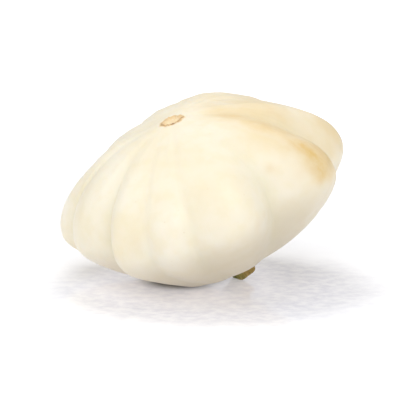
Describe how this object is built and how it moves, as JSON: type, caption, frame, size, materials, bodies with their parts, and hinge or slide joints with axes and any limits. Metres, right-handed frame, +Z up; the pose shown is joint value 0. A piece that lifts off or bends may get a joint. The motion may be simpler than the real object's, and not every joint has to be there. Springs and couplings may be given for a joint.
{
  "type": "pattypan squash",
  "caption": "Mature ivory pattypan squash with a scalloped rim and a short cut stem, lying tipped on its stem side.",
  "frame": {"origin": "centre of the bounding box in X and Y, on the surface the squash lies on", "axes": "+Z up, +Y away from the side with the blossom scar turned to it, +X to the right towards the stem"},
  "size_m": [0.1516, 0.1484, 0.0937],
  "materials": {
    "rind": "smooth waxy plant skin with a soft sheen",
    "stem": "dry ribbed plant stalk, cut across"
  },
  "bodies": {
    "root": {"fruit": "rind", "stem": "stem"}
  },
  "joints": []
}
